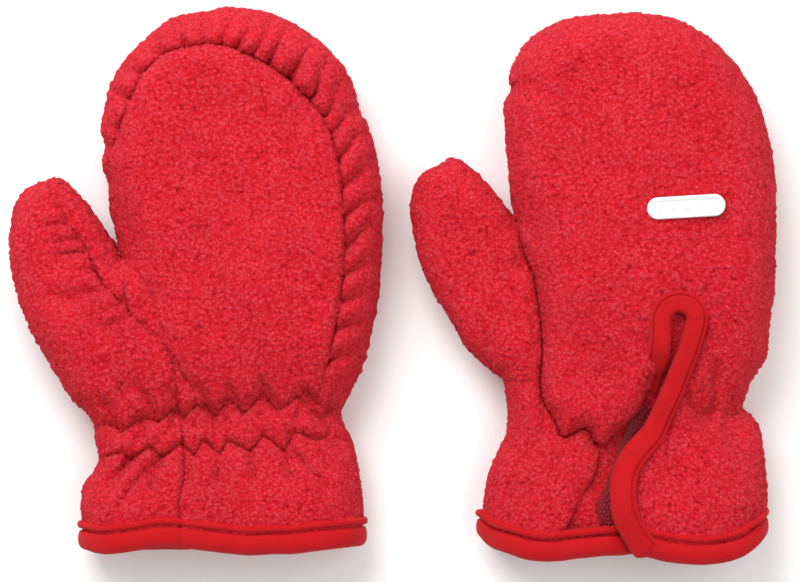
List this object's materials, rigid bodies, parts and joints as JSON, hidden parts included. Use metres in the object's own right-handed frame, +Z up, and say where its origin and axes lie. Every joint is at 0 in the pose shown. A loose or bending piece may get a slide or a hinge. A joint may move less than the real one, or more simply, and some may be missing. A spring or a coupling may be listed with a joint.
{
  "type": "pair of fleece mittens",
  "caption": "Toddler's fleece mittens lying flat, palm up and back up, with gathered fingertips, elasticated wrists and bound wrist slits closed by hook-and-loop flaps.",
  "frame": {"origin": "centre of the pair's footprint, on the surface it lies on", "axes": "+X across the pair, from the palm-up mitten to the back-up one; +Y towards the fingertips; +Z up"},
  "size_m": [0.224, 0.1594, 0.0305],
  "materials": {
    "red_fleece": "soft brushed polyester fleece, matt",
    "red_binding": "smooth stretch knit binding, slight sheen",
    "hook_tape": "glossy nylon hooks on a woven tape",
    "loop_tape": "brushed nylon loops",
    "elastic": "braided elastic, matt",
    "badge_rubber": "satin moulded rubber"
  },
  "bodies": {
    "left_hand": {"left_palm_panel": "red_fleece", "left_back_panel": "red_fleece", "left_fingertip_gathers": "red_fleece", "left_thumb_side_panel": "red_fleece", "left_finger_side_panel": "red_fleece", "left_cuff_palm": "red_fleece", "left_cuff_back": "red_fleece", "left_slit_underlap": "red_fleece", "left_cuff_fold_side": "red_fleece", "left_wrist_elastic_upper": "elastic", "left_wrist_elastic_lower": "elastic", "left_hem_binding": "red_binding", "left_slit_binding": "red_binding", "left_hook_tape": "hook_tape", "left_badge": "badge_rubber"},
    "left_thumb": {"left_thumb_back_side": "red_fleece", "left_thumb_palm_side": "red_fleece"},
    "left_flap": {"left_closure_flap": "red_fleece", "left_flap_edge_binding": "red_binding", "left_flap_hem_binding": "red_binding", "left_loop_tape": "loop_tape"},
    "right_hand": {"right_palm_panel": "red_fleece", "right_back_panel": "red_fleece", "right_fingertip_gathers": "red_fleece", "right_thumb_side_panel": "red_fleece", "right_finger_side_panel": "red_fleece", "right_cuff_palm": "red_fleece", "right_cuff_back": "red_fleece", "right_slit_underlap": "red_fleece", "right_cuff_fold_side": "red_fleece", "right_wrist_elastic_upper": "elastic", "right_wrist_elastic_lower": "elastic", "right_hem_binding": "red_binding", "right_slit_binding": "red_binding", "right_hook_tape": "hook_tape", "right_badge": "badge_rubber"},
    "right_thumb": {"right_thumb_back_side": "red_fleece", "right_thumb_palm_side": "red_fleece"},
    "right_flap": {"right_closure_flap": "red_fleece", "right_flap_edge_binding": "red_binding", "right_flap_hem_binding": "red_binding", "right_loop_tape": "loop_tape"}
  },
  "joints": [
    {"name": "mittens_apart", "type": "slide", "parent": "left_hand", "child": "right_hand", "axis": [1, 0, 0], "range_m": [0, 0.1]},
    {"name": "left_thumb_swing", "type": "hinge", "parent": "left_hand", "child": "left_thumb", "pos_m": [-0.07807, -0.01171, 0.012], "axis": [0, 0, 1], "range_deg": [-5, 12]},
    {"name": "right_thumb_swing", "type": "hinge", "parent": "right_hand", "child": "right_thumb", "pos_m": [0.03893, -0.01171, 0.012], "axis": [0, 0, 1], "range_deg": [-5, 12]},
    {"name": "left_flap_fold", "type": "hinge", "parent": "left_hand", "child": "left_flap", "pos_m": [-0.02057, -0.07971, 0], "axis": [0.0546, -0.9985, 0], "range_deg": [0, 110]},
    {"name": "right_flap_fold", "type": "hinge", "parent": "right_hand", "child": "right_flap", "pos_m": [0.09643, -0.07971, 0.0246], "axis": [-0.0546, 0.9976, 0.0421], "range_deg": [0, 110]}
  ]
}
